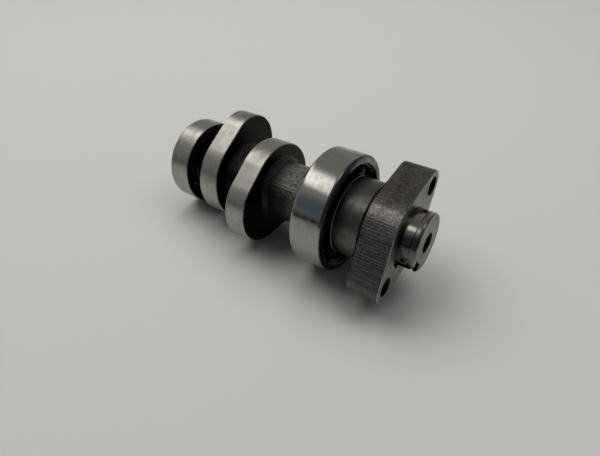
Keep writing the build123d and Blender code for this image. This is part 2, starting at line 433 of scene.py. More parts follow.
def ground(name, colour, roughness, mottle, stain=(0.20, 0.17, 0.13), line_depth=0.004, painted_low_shade=None):
    """Ground steel: hair-fine lines, cloudy patches and handling marks; when given, painted shade comes in
    from its start down to its full height, thins out down to its end and is near black at the bottom."""
    s = Shader(name, colour, roughness)
    fine = s.noise(s.round_shaft(7.0, 1.3), 3.0, 0.7)
    lines = s.noise(s.round_shaft(2.4, 0.8), 4.0, 0.75)
    clouds = s.noise(s.stretched(0.22), 5.0, 0.65)
    specks = s.noise(s.stretched(0.9), 3.0, 0.6)
    s.tint(s.ramp(lines, 0.40, 0.70, 0.0, 0.35), shade(colour, 0.66))
    s.tint(s.ramp(clouds, 0.46, 0.70, 0.0, mottle), stain)
    s.tint(s.ramp(specks, 0.66, 0.74, 0.0, 0.35), shade(stain, 0.5))
    if painted_low_shade:
        # painted shade: darker towards the bottom, and near black at the very bottom
        low_shade_mask = s.math("MULTIPLY", s.ramp(s.z, painted_low_shade.start, painted_low_shade.full),
                      s.ramp(s.z, painted_low_shade.end, painted_low_shade.full, 0.0, painted_low_shade.share))
        s.tint(low_shade_mask, shade(colour, 0.12))
        s.tint(s.ramp(s.z, painted_low_shade.grime, painted_low_shade.grime - 0.8), shade(colour, 0.02))
    s.rough(s.math("ADD", s.ramp(lines, 0.35, 0.7, roughness - 0.05, roughness + 0.05),
                   s.ramp(clouds, 0.4, 0.7, -0.02, 0.08)))
    s.bump(lines, line_depth * 2.5, 0.6)
    s.bump(fine, line_depth, 0.6)
    s.bump(specks, 0.006, 0.4)
    return s.material


def faced(name, colour, roughness, dirt, ring_pitch=0.45, depth=0.012, dirt_share=0.5):
    """A turned face: tool rings round the shaft, with dirt in cloudy patches."""
    s = Shader(name, colour, roughness)
    wobble = s.noise(s.stretched(0.5), 2.0)
    phase = s.math("MULTIPLY", s.math("ADD", s.r, s.math("MULTIPLY", wobble, 0.25)), 2 * pi / ring_pitch)
    rings = s.math("SINE", phase)
    fine = s.noise(s.round_shaft(0.0, 2.0, 7.0), 3.0, 0.7)
    clouds = s.noise(s.stretched(0.22), 4.0, 0.6)
    s.tint(s.ramp(rings, -1.0, 1.0, 0.0, 0.35), shade(colour, 0.6))
    s.tint(s.ramp(clouds, 0.42, 0.66, 0.0, dirt_share), dirt)
    s.rough(s.ramp(fine, 0.3, 0.8, roughness - 0.06, roughness + 0.12))
    s.bump(rings, depth, 0.7)
    s.bump(fine, depth * 0.6, 0.6)
    return s.material


def forged(name, colour, roughness, metallic=0.35):
    """As-forged skin: close grain, pits and a dull oily sheen, black from just in front of the front lobe
    rearwards, partly as scale and partly as painted shade, and with painted shade low down further forward."""
    s = Shader(name, colour, roughness)
    grain = s.noise(s.stretched(1.3), 3.0, 0.6)
    fine = s.noise(s.stretched(3.2), 3.0, 0.6)
    pits = s.node("ShaderNodeTexVoronoi", Vector=s.stretched(1.25), Scale=1.0).outputs["Distance"]
    # black scale rearwards of the front lobe, whose darkening towards the lobe is also painted shade
    black_scale_and_shade = s.ramp(s.x, lobe1_front + SCALE_REACH, lobe1_front + SCALE_REACH * 0.25, 0.0, 0.9)
    # both edges of the parting ridge are rubbed bright
    ridge = radians(RIDGE_ANGLE)
    aside = s.math("ADD", s.math("MULTIPLY", s.z, cos(ridge)), s.math("MULTIPLY", s.y, -sin(ridge)))
    from_edge = s.math("ABSOLUTE", s.math("SUBTRACT", s.math("ABSOLUTE", aside), RIDGE_WIDTH * 0.38))
    crest = s.ramp(from_edge, 0.12, 0.30, 0.55, 0.0)
    # painted shade: the lower side of the shaft is darkened, from a little further forward than the black
    # scale on its top
    painted_underside = s.ramp(s.z, SHAFT_R * 0.8, SHAFT_R * 0.35)
    near_lobe = s.ramp(s.x, lobe1_front + SCALE_REACH * 1.5, lobe1_front + SCALE_REACH * 0.9, 0.0, 0.85)
    s.tint(s.ramp(grain, 0.42, 0.56, 0.85, 0.0), shade(colour, 0.15))
    s.tint(s.ramp(fine, 0.52, 0.66, 0.0, 0.55), shade(colour, 2.2))
    s.tint(crest, shade(colour, 2.2))
    s.tint(black_scale_and_shade, shade(colour, 0.08))
    # painted shade low down, next to the front lobe
    s.tint(s.math("MULTIPLY", painted_underside, near_lobe), shade(colour, 0.04))
    s.surface.inputs["Specular IOR Level"].default_value = 0.35
    s.put(s.surface.inputs["Metallic"], s.ramp(black_scale_and_shade, 0.0, 0.9, metallic, 0.10))
    s.rough(s.ramp(grain, 0.35, 0.65, roughness - 0.16, roughness + 0.14))
    s.bump(grain, 0.22, 0.9)
    s.bump(fine, 0.05, 0.8)
    s.bump(s.ramp(pits, 0.0, 0.30, 0.0, 1.0), 0.05, 0.6)
    return s.material


def milled(name, colour, roughness, torn=0.18):
    """Milled flank: dark marks along the shaft, rubbed off near the top, where brown stains and pale flecks
    of painted glint take their place, and a torn grain; painted shade darkens the top and the lower part,
    which leaves a painted highlight band between."""
    s = Shader(name, colour, roughness)
    tear = s.noise(s.stretched(2.2), 5.0, 0.7)
    streak = s.noise(s.stretched(0.09, 2.6, 2.6), 4.0, 0.7)
    crosswise = s.noise(s.stretched(3.0, 0.5, 0.5), 3.0, 0.6)
    stains = s.noise(s.stretched(0.24), 4.0, 0.65)
    spots = s.noise(s.stretched(0.8), 3.0, 0.6)
    flecks = s.noise(s.stretched(1.6), 2.0, 0.5)
    marks = s.ramp(s.z, MARKS_END, MARKS_END - MARKS_FADE, 0.15, 1.0)
    lines = s.math("MULTIPLY", s.ramp(streak, 0.42, 0.60, 0.85, 0.0), marks)
    s.tint(lines, shade(colour, 0.30))
    s.tint(s.ramp(crosswise, 0.50, 0.72, 0.0, 0.35), shade(colour, 1.5))
    cloudy = s.math("MULTIPLY", s.ramp(stains, 0.42, 0.62, 0.0, 0.9),
                    s.ramp(s.z, MARKS_END, MARKS_END + 1.0, 0.25, 1.0))
    # painted glint: pale flecks high on the flank, where it catches the lamp
    painted_glints = s.math("MULTIPLY", s.ramp(flecks, 0.54, 0.64, 0.0, 0.70), s.ramp(marks, 0.2, 0.9, 1.0, 0.0))
    s.tint(cloudy, (colour[0] * 0.50, colour[1] * 0.41, colour[2] * 0.33))
    s.tint(painted_glints, (0.43, 0.40, 0.33))
    # painted shade: darker above the marks' end and low down, which leaves a painted highlight band between
    s.tint(s.ramp(s.z, MARKS_END, MARKS_END + 0.8, 0.0, 0.50), shade(colour, 0.25))
    s.tint(s.ramp(s.z, MARKS_END - 3.0, MARKS_END - 7.0, 0.0, 0.40), shade(colour, 0.25))
    s.tint(s.ramp(spots, 0.60, 0.70, 0.0, 0.75), (0.025, 0.020, 0.016))
    s.rough(s.ramp(tear, 0.3, 0.75, roughness - 0.10, roughness + 0.14))
    s.bump(s.math("MULTIPLY", streak, marks), 0.05, 0.8)
    s.bump(tear, torn, 0.9)
    return s.material


def satin(name, colour, roughness, bump=0.012, grain_size=0.4, painted_low_shade=None):
    """Fine turned or pressed steel, slightly cloudy; when given, painted shade darkens a share of it from its
    start down to its full height."""
    s = Shader(name, colour, roughness)
    lines = s.noise(s.round_shaft(6.0, 2.0), 4.0, 0.7)
    grain = s.noise(s.stretched(1 / grain_size), 4.0, 0.65)
    clouds = s.noise(s.stretched(0.25), 4.0, 0.6)
    s.tint(s.ramp(clouds, 0.42, 0.66, 0.0, 0.50), shade(colour, 0.62))
    s.tint(s.ramp(grain, 0.54, 0.70, 0.0, 0.45), shade(colour, 1.6))
    if painted_low_shade:
        # painted shade: darker towards the bottom
        s.tint(s.ramp(s.z, painted_low_shade.start, painted_low_shade.full, 0.0, painted_low_shade.share), shade(colour, 0.1))
    s.rough(s.ramp(clouds, 0.3, 0.75, roughness - 0.05, roughness + 0.10))
    s.bump(lines, bump, 0.5)
    s.bump(grain, bump * 2.5, 0.7)
    return s.material


def polished(name, colour, roughness):
    """Hardened and polished steel with faint smears."""
    s = Shader(name, colour, roughness)
    smears = s.noise(s.stretched(0.6), 3.0, 0.6)
    s.rough(s.ramp(smears, 0.35, 0.7, roughness - 0.03, roughness + 0.10))
    s.tint(s.ramp(smears, 0.5, 0.75, 0.0, 0.4), shade(colour, 0.6))
    return s.material


ring_ground = ground("ring_ground", (0.345, 0.34, 0.318), 0.15, mottle=0.35)
rear_ring_ground = ground("rear_ring_ground", (0.36, 0.355, 0.33), 0.29, mottle=0.35)
# the rings' faces and corners take painted shade towards the bottom
ring_face = satin("ring_face", (0.165, 0.161, 0.165), 0.24, painted_low_shade=Sizes(start=14.5, full=7.0, share=0.75))
ring_corner = satin("ring_corner", (0.115, 0.11, 0.12), 0.26, painted_low_shade=Sizes(start=14.0, full=6.0, share=0.7))
# painted shade: the raceways, lands and recesses inside the bearings are near black
race_painted_shade = polished("race_painted_shade", (0.016, 0.0155, 0.015), 0.16)
lobe_ground = ground("lobe_ground", (0.385, 0.381, 0.359), 0.32, mottle=0.45, line_depth=0.010)
lobe_side = faced("lobe_side", (0.015, 0.014, 0.013), 0.40, dirt=(0.004, 0.004, 0.004))
shaft_forged = forged("shaft_forged", (0.105, 0.102, 0.094), 0.42)
# painted shade towards the bottom of the journal
journal_ground = ground("journal_ground", (0.31, 0.295, 0.278), 0.15, mottle=0.55, stain=(0.15, 0.115, 0.09),
                        painted_low_shade=Sizes(start=8.6, full=5.5, end=-6.5, share=0.88, grime=-4.2))
end_face = satin("end_face", (0.22, 0.217, 0.208), 0.40)
# painted shade towards the bottom of the spigot's rim
rim_steel = ground("rim_steel", (0.30, 0.28, 0.245), 0.24, mottle=0.6, stain=(0.16, 0.125, 0.09),
                   line_depth=0.008, painted_low_shade=Sizes(start=8.4, full=6.0, end=-5.5, share=0.75, grime=-4.4))
collar_steel = satin("collar_steel", (0.12, 0.117, 0.11), 0.36, bump=0.035, grain_size=0.6)
flank_milled = milled("flank_milled", (0.21, 0.206, 0.198), 0.22)
flange_face = satin("flange_face", (0.26, 0.256, 0.248), 0.42, bump=0.02, grain_size=0.6)
# wear on the flange's front edge, and a painted highlight along the front inner ring's front edge
worn_edge_and_highlight = satin("worn_edge_and_highlight", (0.42, 0.415, 0.40), 0.5, bump=0.02, grain_size=0.6)
# painted shade: the holes, bore, slot and centre holes are near black inside
hole_painted_shade = satin("hole_painted_shade", (0.025, 0.024, 0.023), 0.45)
key_steel = satin("key_steel", (0.05, 0.048, 0.046), 0.40)
# painted shade: the cages are near black, as they lie in the shade inside the bearings
cage_steel = satin("cage_steel", (0.028, 0.026, 0.023), 0.32)
ball_steel = polished("ball_steel", (0.5, 0.495, 0.48), 0.07)


# ---- camshaft
def lobe_radius(lobe, angles):
    """Distance from the axis to the cam's outline: base circle, nose circle and two straight flanks."""
    nose = lobe.nose
    reach = LOBE_BASE_R + lobe.lift - nose
    flank = degrees(acos((LOBE_BASE_R - nose) / reach))
    nose_until = degrees(atan2(nose * sin(radians(flank)), reach + nose * cos(radians(flank))))
    off_nose = np.abs((np.asarray(angles) - lobe.angle + 180) % 360 - 180)
    a = np.radians(off_nose)
    on_nose = reach * np.cos(a) + np.sqrt(np.maximum(nose ** 2 - (reach * np.sin(a)) ** 2, 0))
    on_flank = LOBE_BASE_R / np.cos(np.radians(off_nose - flank))
    on_flank_or_base = np.where(off_nose < flank, on_flank, LOBE_BASE_R)
    return np.where(off_nose <= nose_until, on_nose, on_flank_or_base)


def roughen(rings, amount, angles):
    """Gives the forged rings their uneven skin and, on the bare shaft, the ridge of the parting line."""
    rows = np.nonzero(amount)[0]
    share = amount[rows][:, None]
    flat = rings[rows].reshape(-1, 3)
    swell = noise_at(flat, 3.2, 4, 3.1) * 0.6 + noise_at(flat, 0.9, 2, 9.4) * 0.4
    swell = np.minimum(swell, FORGE_PEAK_SHARE).reshape(len(rows), AROUND) * FORGE_ROUGHNESS * share
    off_ridge = (angles - RIDGE_ANGLE + 90) % 180 - 90
    distance = np.abs(np.radians(off_ridge)) * SHAFT_R
    ridge = np.clip((RIDGE_WIDTH / 2 + RIDGE_SLOPE / 2 - distance) / RIDGE_SLOPE, 0, 1) * RIDGE_HEIGHT
    trimmed = np.where(distance < RIDGE_WIDTH / 4, RIDGE_TRIM_SHARE, 1.0)
    bump = swell - FORGE_ROUGHNESS * FORGE_MEAN_SHARE * share
    bump = bump + (ridge * trimmed)[None, :] * (share > FILLET_ROUGH_SHARE)
    radial = rings[rows][..., 1:]
    length = np.linalg.norm(radial, axis=-1, keepdims=True)
    rings[rows, :, 1:] = radial * (1 + bump[..., None] / length)


def camshaft():
    """The shaft with its lobes, as one skin of rings from the rear end to the front end."""
    angles = np.arange(AROUND) * 360 / AROUND
    rear_r, front_r = REAR.bore / 2, FRONT.bore / 2
    rings, zones, rough_rows = [], [], []
    JOURNAL, FORGED, SIDE, RIM, END, EDGE, HOLE = range(7)
    steels = [journal_ground, shaft_forged, lobe_side, lobe_ground, end_face, rim_steel, hole_painted_shade]

    def ring(x, r, zone, roughness=0.0):
        """One more ring; the zone is that of the band between the ring before and this one."""
        rings.append(polar(x, r, angles))
        zones.append(zone)
        rough_rows.append(roughness)

    def centre_hole(face, mouth, inward):
        """Centre hole, drawn from its bottom outwards at the rear end and inwards at the front end."""
        depth = (mouth - PILOT_R) / tan(radians(CENTRE_HALF_ANGLE))
        bottom = face + inward * (depth + PILOT_DEPTH)
        steps = [(bottom, HOLE_END_R), (bottom, PILOT_R), (face + inward * depth, PILOT_R), (face, mouth)]
        for x, r in steps[::inward]:
            ring(x, r, HOLE)

    def bare(x_from, x_to, step=SKIN_STEP):
        """As-forged shaft between two places."""
        for x in after(x_from, x_to, max(2, round((x_to - x_from) / step))):
            ring(x, SHAFT_R, FORGED, 1.0)

    def fillet(face, way, start, end):
        """Quarter round between the shaft and a lobe's side; way is 1 in front of the lobe and -1 behind."""
        for a in np.radians(after(start, end, FILLET_STEPS)):
            ring(face + way * ROOT_FILLET * (1 - sin(a)), SHAFT_R + ROOT_FILLET * (1 - cos(a)),
                 FORGED, FILLET_ROUGH_SHARE)

    def lobe(back, front, shape):
        """One lobe with its sides, broken edges and root fillets."""
        outline = lobe_radius(shape, angles)
        side = outline - LOBE_EDGE
        fillet_r = SHAFT_R + ROOT_FILLET
        fillet(back, -1, 0, 90)
        for share in after(0, 1, LOBE_SIDE_STEPS):
            ring(back, fillet_r + (side - fillet_r) * share, SIDE)
        ring(back + LOBE_EDGE, outline, RIM)
        for x in after(back + LOBE_EDGE, front - LOBE_EDGE, LOBE_RIM_STEPS):
            ring(x, outline, RIM)
        ring(front, side, RIM)
        for share in after(1, 0, LOBE_SIDE_STEPS):
            ring(front, fillet_r + (side - fillet_r) * share, SIDE)
        fillet(front, 1, 90, 0)

    # rear end, journal and shoulder
    shoulder_front = REAR.face + REAR_SHOULDER_LENGTH
    centre_hole(rear_end, REAR_CENTRE_R, 1)
    for r in after(REAR_CENTRE_R, rear_r - REAR_END_CHAMFER, 7):
        ring(rear_end, r, END)
    ring(rear_end + REAR_END_CHAMFER, rear_r, JOURNAL)
    ring(REAR.face, rear_r, JOURNAL)
    for r in after(rear_r, REAR_SHOULDER_R, 3):
        ring(REAR.face, r, SIDE)
    for x in after(REAR.face, shoulder_front, 3):
        ring(x, REAR_SHOULDER_R, SIDE)
    ring(shoulder_front, SHAFT_R, FORGED)

    # shaft with its lobes, in finer steps in front, where it is seen closest
    shoulder_back = front_back - FRONT_SHOULDER_LENGTH
    bare(shoulder_front, lobe2_back - ROOT_FILLET)
    lobe(lobe2_back, lobe2_front, REAR_LOBE)
    bare(lobe2_front + ROOT_FILLET, lobe1_back - ROOT_FILLET)
    lobe(lobe1_back, lobe1_front, FRONT_LOBE)
    bare(lobe1_front + ROOT_FILLET, shoulder_back, FINE_SKIN_STEP)

    # front shoulder and journal
    ring(shoulder_back, FRONT_SHOULDER_R - FRONT_SHOULDER_EDGE, SIDE)
    ring(shoulder_back + FRONT_SHOULDER_EDGE, FRONT_SHOULDER_R, SIDE)
    ring(front_back, FRONT_SHOULDER_R, SIDE)
    ring(front_back, front_r, SIDE)
    ring(flange_front - JOURNAL_STOP, front_r, JOURNAL)
    ring(flange_front - JOURNAL_STOP, SPIGOT_R - ROOT_RELIEF, EDGE)

    # spigot with its groove, and front end
    ring(flange_front + ROOT_RELIEF, SPIGOT_R - ROOT_RELIEF, EDGE)
    for x in np.linspace(flange_front + ROOT_RELIEF, groove_back, 7):
        ring(x, SPIGOT_R, JOURNAL)
    ring(groove_back, SPIGOT_R - GROOVE_DEPTH, EDGE)
    ring(groove_front, SPIGOT_R - GROOVE_DEPTH, EDGE)
    ring(groove_front, SPIGOT_R - GROOVE_EDGE, EDGE)
    ring(groove_front + GROOVE_EDGE, SPIGOT_R, EDGE)
    ring(front_end - SPIGOT_CHAMFER, SPIGOT_R, EDGE)
    for a in np.radians(after(0, 90, 4)):
        ring(front_end - SPIGOT_CHAMFER * (1 - sin(a)), SPIGOT_R - SPIGOT_CHAMFER * (1 - cos(a)), EDGE)
    for r in after(SPIGOT_R - SPIGOT_CHAMFER, FRONT_CENTRE_R, 15):
        ring(front_end, r, END)
    centre_hole(front_end, FRONT_CENTRE_R, -1)

    rings = np.array(rings)
    roughen(rings, np.array(rough_rows), angles)
    points, faces, material = grid(rings, zones=zones[1:])
    obj = new_object("camshaft_forging", points, faces, steels, material)
    cut(obj, keyway_cutter())
    return obj


def directions(angle):
    """Outward and sideways directions, square to the shaft, at an angle round it."""
    a = radians(angle)
    return np.array([0, cos(a), sin(a)]), np.array([0, -sin(a), cos(a)])


def keyway_cutter():
    """Slot from the front end to a round end under the collar."""
    half = KEY_WIDTH / 2 + KEY_SIDE_CLEARANCE
    floor = FRONT.bore / 2 - KEY_DEPTH
    outline = [(flange_back + half * cos(a), half * sin(a)) for a in np.radians(np.linspace(90, 270, 17))]
    outline += [(front_end + CUTTER_OVERRUN, -half), (front_end + CUTTER_OVERRUN, half)]
    outward, sideways = directions(key_angle)
    rings = []
    for height in (floor, FRONT.bore):
        rings.append([np.array([x, 0, 0]) + sideways * s + outward * height for x, s in outline])
    return solid("slot", rings, hole_painted_shade)


# ---- collar, flange and key
def middle_of(bearing):
    """Place of a bearing's ball centres along the shaft."""
    return bearing.face - bearing.width / 2


def ball_place(bearing, index):
    """Centre of a ball, or of the rivet that follows it when the index ends in a half."""
    return polar(middle_of(bearing), bearing.pitch / 2, bearing.first_ball + index * 360 / BALLS)


def land_radii(bearing):
    """Radii of a bearing's inner land, outer land and outer recess."""
    shares = (-INNER_LAND_SHARE, OUTER_LAND_SHARE, RECESS_SHARE)
    return [bearing.pitch / 2 + share * bearing.ball for share in shares]


def spacer_collar():
    """Turned sleeve between the front bearing and the flange."""
    outside = land_radii(FRONT)[0] - COLLAR_BELOW_RING
    inside = FRONT.bore / 2
    edge = COLLAR_REAR_CHAMFER
    section = along((FRONT.face, inside), (FRONT.face, outside - edge), 4)
    section += along((FRONT.face + edge, outside), (flange_back - COLLAR_CHAMFER, outside), 12)
    section += [(flange_back - COLLAR_CHAMFER, outside), (flange_back, outside - COLLAR_CHAMFER),
                (flange_back, inside)]
    return turned("collar", section, [collar_steel])


def flange_outline():
    """The flange's outline with its tips on the first axis, as points and outward directions."""
    half = degrees(acos((FLANGE_CORE_R - FLANGE_TIP_R) / BOLT_CIRCLE_R))

    def unit(angle):
        return np.array([cos(radians(angle)), sin(radians(angle))])

    def arc(centre, radius, start, end):
        count = int(abs(radians(end - start)) * radius / OUTLINE_STEP)
        angles = np.linspace(start, end, count, endpoint=False)
        return [(centre + radius * unit(angle), unit(angle)) for angle in angles]

    def straight(start, end, normal):
        count = int(np.linalg.norm(end - start) / OUTLINE_STEP)
        shares = np.linspace(0, 1, count, endpoint=False)
        return [(start + (end - start) * share, normal) for share in shares]

    outline = []
    for tip in (0, 180):
        centre = BOLT_CIRCLE_R * unit(tip)
        leaving, arriving = unit(tip + half), unit(tip + 180 - half)
        outline += arc(centre, FLANGE_TIP_R, tip - half, tip + half)
        outline += straight(centre + FLANGE_TIP_R * leaving, FLANGE_CORE_R * leaving, leaving)
        outline += arc(np.zeros(2), FLANGE_CORE_R, tip + half, tip + 180 - half)
        outline += straight(FLANGE_CORE_R * arriving, FLANGE_TIP_R * arriving - centre, arriving)
    points, normals = zip(*outline)
    return np.array(points), np.array(normals)


def sprocket_flange():
    """Rhombic flange with scalloped, torn flanks, its bore and its two threaded holes."""
    outline, normals = flange_outline()
    steps = np.linalg.norm(np.roll(outline, -1, 0) - outline, axis=1)
    measure = np.concatenate([[0], np.cumsum(steps)[:-1]])
    outline, normals = rotated(outline, FLANGE_ANGLE), rotated(normals, FLANGE_ANGLE)
    # scallops of uneven width and depth, worn away towards the top
    flat = np.c_[outline, np.zeros(len(outline))]
    jitter = 0.35 * noise_at(flat, 1.3, 2, 7.0)
    wave = np.abs((measure / SCALLOP_PITCH + jitter) % 1.0 - 0.5) * 2
    strength = 0.6 + 0.6 * noise_at(flat, 6.0, 2, 5.0)
    worn = np.clip((MARKS_END - outline[:, 1]) / MARKS_FADE, 0.1, 1.0)
    scallop = -SCALLOP_DEPTH * worn * np.clip(strength, 0.15, 1.0) * np.clip(1 - wave * 1.6, 0, 1)
    first, last = flange_back + FLANGE_BACK_CHAMFER, flange_front - FLANGE_FRONT_CHAMFER
    stations = [(flange_back, FLANGE_BACK_CHAMFER)]
    stations += [(x, 0.0) for x in np.linspace(first, last, FLANK_ROWS)]
    stations += [(flange_front, FLANGE_FRONT_CHAMFER)]
    rings = []
    for x, inset in stations:
        shifted = outline + normals * (scallop - inset)[:, None]
        ring = np.c_[np.full(len(outline), x), shifted]
        if inset == 0.0:
            tear = noise_at(ring, 1.1, 3, 2.0)
            ring[:, 1:] += normals * (np.minimum(tear, 0.0) * TEAR_DEPTH)[:, None]
        rings.append(ring)
    FLANK, FACE, WORN = range(3)
    zones = [FLANK] * (len(rings) - 2) + [WORN]
    points, faces, material = grid(rings, zones=zones)
    material[-2:] = [FACE, FACE]
    steels = [flank_milled, flange_face, worn_edge_and_highlight, hole_painted_shade]
    obj = new_object("flange_body", points, faces, steels, material)
    bolts = rotated([(-BOLT_CIRCLE_R, 0.0), (BOLT_CIRCLE_R, 0.0)], FLANGE_ANGLE)
    cut(obj, flange_bore(), *[thread_cutter(centre) for centre in bolts])
    return obj


def flange_bore():
    """Bore with its keyway, as one closed shape longer than the flange is thick."""
    r = FRONT.bore / 2
    top = r - KEY_DEPTH + KEY_HEIGHT + KEY_TOP_CLEARANCE
    half = degrees(atan2(KEY_WIDTH / 2, sqrt(r ** 2 - (KEY_WIDTH / 2) ** 2)))
    outline = [(r * cos(a), r * sin(a)) for a in np.radians(np.linspace(half, 360 - half, 120))]
    outline += [(top, -KEY_WIDTH / 2), (top, KEY_WIDTH / 2)]
    outline = rotated(outline, key_angle)
    ends = (flange_back - CUTTER_OVERRUN, flange_front + CUTTER_OVERRUN)
    rings = [np.c_[np.full(len(outline), x), outline] for x in ends]
    return solid("bore", rings, hole_painted_shade)


def thread_cutter(centre):
    """Closed shape of a tapped hole through the flange, with a countersink at each end."""
    step = BOLT_PITCH / 8
    stations = np.arange(flange_back - THREAD_OVERRUN, flange_front + THREAD_OVERRUN + step / 10, step)
    around = np.arange(THREAD_AROUND) / THREAD_AROUND
    a = around * 2 * pi
    rings = []
    for x in stations:
        # once a turn, from a narrow flat at the minor radius to a wide one at full depth
        turns = (x / BOLT_PITCH - around) % 1.0
        crest = np.clip(1.25 * (1 - np.abs(turns * 2 - 1)) - 0.1, 0, 1)
        outside = max(flange_back - x, x - flange_front)
        countersink = BOLT_MINOR_R + BOLT_CHAMFER + min(outside, BOLT_CHAMFER_FLARE)
        r = np.maximum(BOLT_MINOR_R + THREAD_DEPTH * crest, countersink)
        rings.append(np.c_[np.full(THREAD_AROUND, x), centre[0] + r * np.cos(a), centre[1] + r * np.sin(a)])
    return solid("thread", rings, hole_painted_shade)


def flange_key():
    """Parallel key with broken edges, in the slot of the shaft and the slot of the flange."""
    edge = KEY_EDGE
    back, front = flange_back, flange_front - KEY_RECESS
    low, half = FRONT.bore / 2 - KEY_DEPTH, KEY_WIDTH / 2
    high = low + KEY_HEIGHT
    outline = [(low + edge, half), (low, half - edge), (low, edge - half), (low + edge, -half),
               (high - edge, -half), (high, edge - half), (high, half - edge), (high - edge, half)]
    outward, sideways = directions(key_angle)
    middle = (low + high) / 2
    rings = []
    for x, inset in ((back, edge), (back + edge, 0), (front - edge, 0), (front, edge)):
        shrink = 1 - inset / half
        rings.append([np.array([x, 0, 0]) + outward * (middle + (d - middle) * shrink) + sideways * s * shrink
                      for d, s in outline])
    return solid("key", rings, key_steel)


# ---- bearings
def groove(bearing, side):
    """(x, r) points of one raceway from front to back; side is 1 for the outer ring and -1 for the inner."""
    radius = GROOVE_SHARE * bearing.ball
    deepest = bearing.pitch / 2 + side * (bearing.ball / 2 + RACE_CLEARANCE)
    centre = deepest - side * radius
    land = land_radii(bearing)[1] if side > 0 else land_radii(bearing)[0]
    half = sqrt(radius ** 2 - (land - centre) ** 2)
    middle = middle_of(bearing)
    limit = degrees(atan2(half, abs(land - centre)))
    return [(middle + radius * sin(a), centre + side * radius * cos(a))
            for a in np.radians(np.linspace(limit, -limit, RACE_POINTS))]


def outer_ring(name, bearing, ground_steel):
    """Outer ring, drawn from its front corner over the outside to the raceway and the front face."""
    _, land, recess = land_radii(bearing)
    outside, rounding = bearing.outside / 2, bearing.corner
    face, back = bearing.face, bearing.face - bearing.width
    step = RECESS_WIDTH_SHARE * bearing.width
    OUTSIDE, FACE, RACE, CORNER = range(4)
    parts = [
        (corner(face - rounding, outside - rounding, rounding, 0, 90, 10)[:-1], CORNER),
        (along((face - rounding, outside), (back + rounding, outside), 12), OUTSIDE),
        (corner(back + rounding, outside - rounding, rounding, 90, 180, 8), OUTSIDE),
        ([(back, recess + RECESS_EDGE), (back + RECESS_EDGE, recess)], FACE),
        ([(back + step, recess), (back + step, land + LAND_EDGE), (back + step + LAND_EDGE, land)], RACE),
        (groove(bearing, 1)[::-1], RACE),
        ([(face - step - LAND_EDGE, land), (face - step, land + LAND_EDGE), (face - step, recess)], RACE),
        ([(face - RECESS_EDGE, recess), (face, recess + RECESS_EDGE)], FACE)]
    section = [point for points, _ in parts for point in points]
    zones = [zone for points, zone in parts for _ in points]
    # a band takes the zone of the point that ends it, but both faces are whole, and the corner's last bands
    # are ground with the outside
    following = zones[1:] + zones[:1]
    band = following[:-1] + [FACE]
    for i, (p, q) in enumerate(zip(section, section[1:] + section[:1])):
        if p[0] == q[0] and p[0] in (face, back):
            band[i] = FACE
        if CORNER in (zones[i], following[i]) and p[1] > outside - rounding * CORNER_BRIGHT_SHARE:
            band[i] = OUTSIDE
    return turned(name + "_outer_race", section, [ground_steel, ring_face, race_painted_shade, ring_corner], band)


def inner_ring(name, bearing, edge_steel):
    """Inner ring, whose land can have an edge of another steel in front."""
    land = land_radii(bearing)[0]
    bore, chamfer, edge = bearing.bore / 2, bearing.corner / 2, INNER_RING_EDGE
    face, back = bearing.face, bearing.face - bearing.width
    front_edge = [(face - edge, land), (face, land - edge), (face, land - 3 * edge)]
    section = [(back, bore + chamfer), (back, land - edge), (back + edge, land)]
    section += groove(bearing, -1)[::-1]
    section += front_edge
    section += [(face, bore + chamfer), (face - chamfer, bore), (back + chamfer, bore)]
    FACE, RACE, EDGE = range(3)
    edge_bands = list(zip(front_edge, front_edge[1:]))
    band = []
    for p, q in zip(section, section[1:] + section[:1]):
        if (p, q) in edge_bands:
            band.append(EDGE)
        else:
            band.append(FACE if p[0] == q[0] else RACE)
    return turned(name + "_inner_race", section, [ring_face, race_painted_shade, edge_steel], band, INNER_RING_AROUND)


def cage_half(name, bearing, side):
    """Pressed ribbon half: a flat band that domes over each ball; side is 1 in front and -1 behind."""
    half_band = CAGE_BAND_SHARE * bearing.ball
    pocket = bearing.ball / 2 + POCKET_CLEARANCE
    dome = pocket + bearing.sheet
    middle = middle_of(bearing)
    degrees_round = np.arange(CAGE_AROUND) * 360 / CAGE_AROUND
    angles = degrees_round + bearing.first_ball
    nearest = np.radians((degrees_round + 180 / BALLS) % (360 / BALLS) - 180 / BALLS)
    outer, inner = [], []
    for r in bearing.pitch / 2 + np.linspace(-half_band, half_band, CAGE_ROWS):
        from_ball = r ** 2 + (bearing.pitch / 2) ** 2 - r * bearing.pitch * np.cos(nearest)
        hump = np.sqrt(np.maximum(dome ** 2 - from_ball, 0))
        rise = hump - bearing.sheet
        # the band runs into the dome with a small fillet
        blended = bearing.sheet + 0.5 * (rise + np.sqrt(rise ** 2 + 0.02)) - 0.07
        outer.append(polar(middle + side * np.maximum(blended, bearing.sheet * 0.95), r, angles))
        inner.append(polar(middle + side * np.sqrt(np.maximum(pocket ** 2 - from_ball, 0)), r, angles))
    points, faces, _ = grid(outer + inner[::-1], closed_along=True)
    return new_object(f"{name}_ribbon_{'front' if side > 0 else 'rear'}", points, faces, [cage_steel])


def round_bar(centre, profile, count):
    """Rings of count points round a line through the centre along the shaft; profile is (x, r) points."""
    a = np.arange(count) * 2 * pi / count
    return [np.c_[np.full(count, centre[0] + x), centre[1] + r * np.cos(a), centre[2] + r * np.sin(a)]
            for x, r in profile]


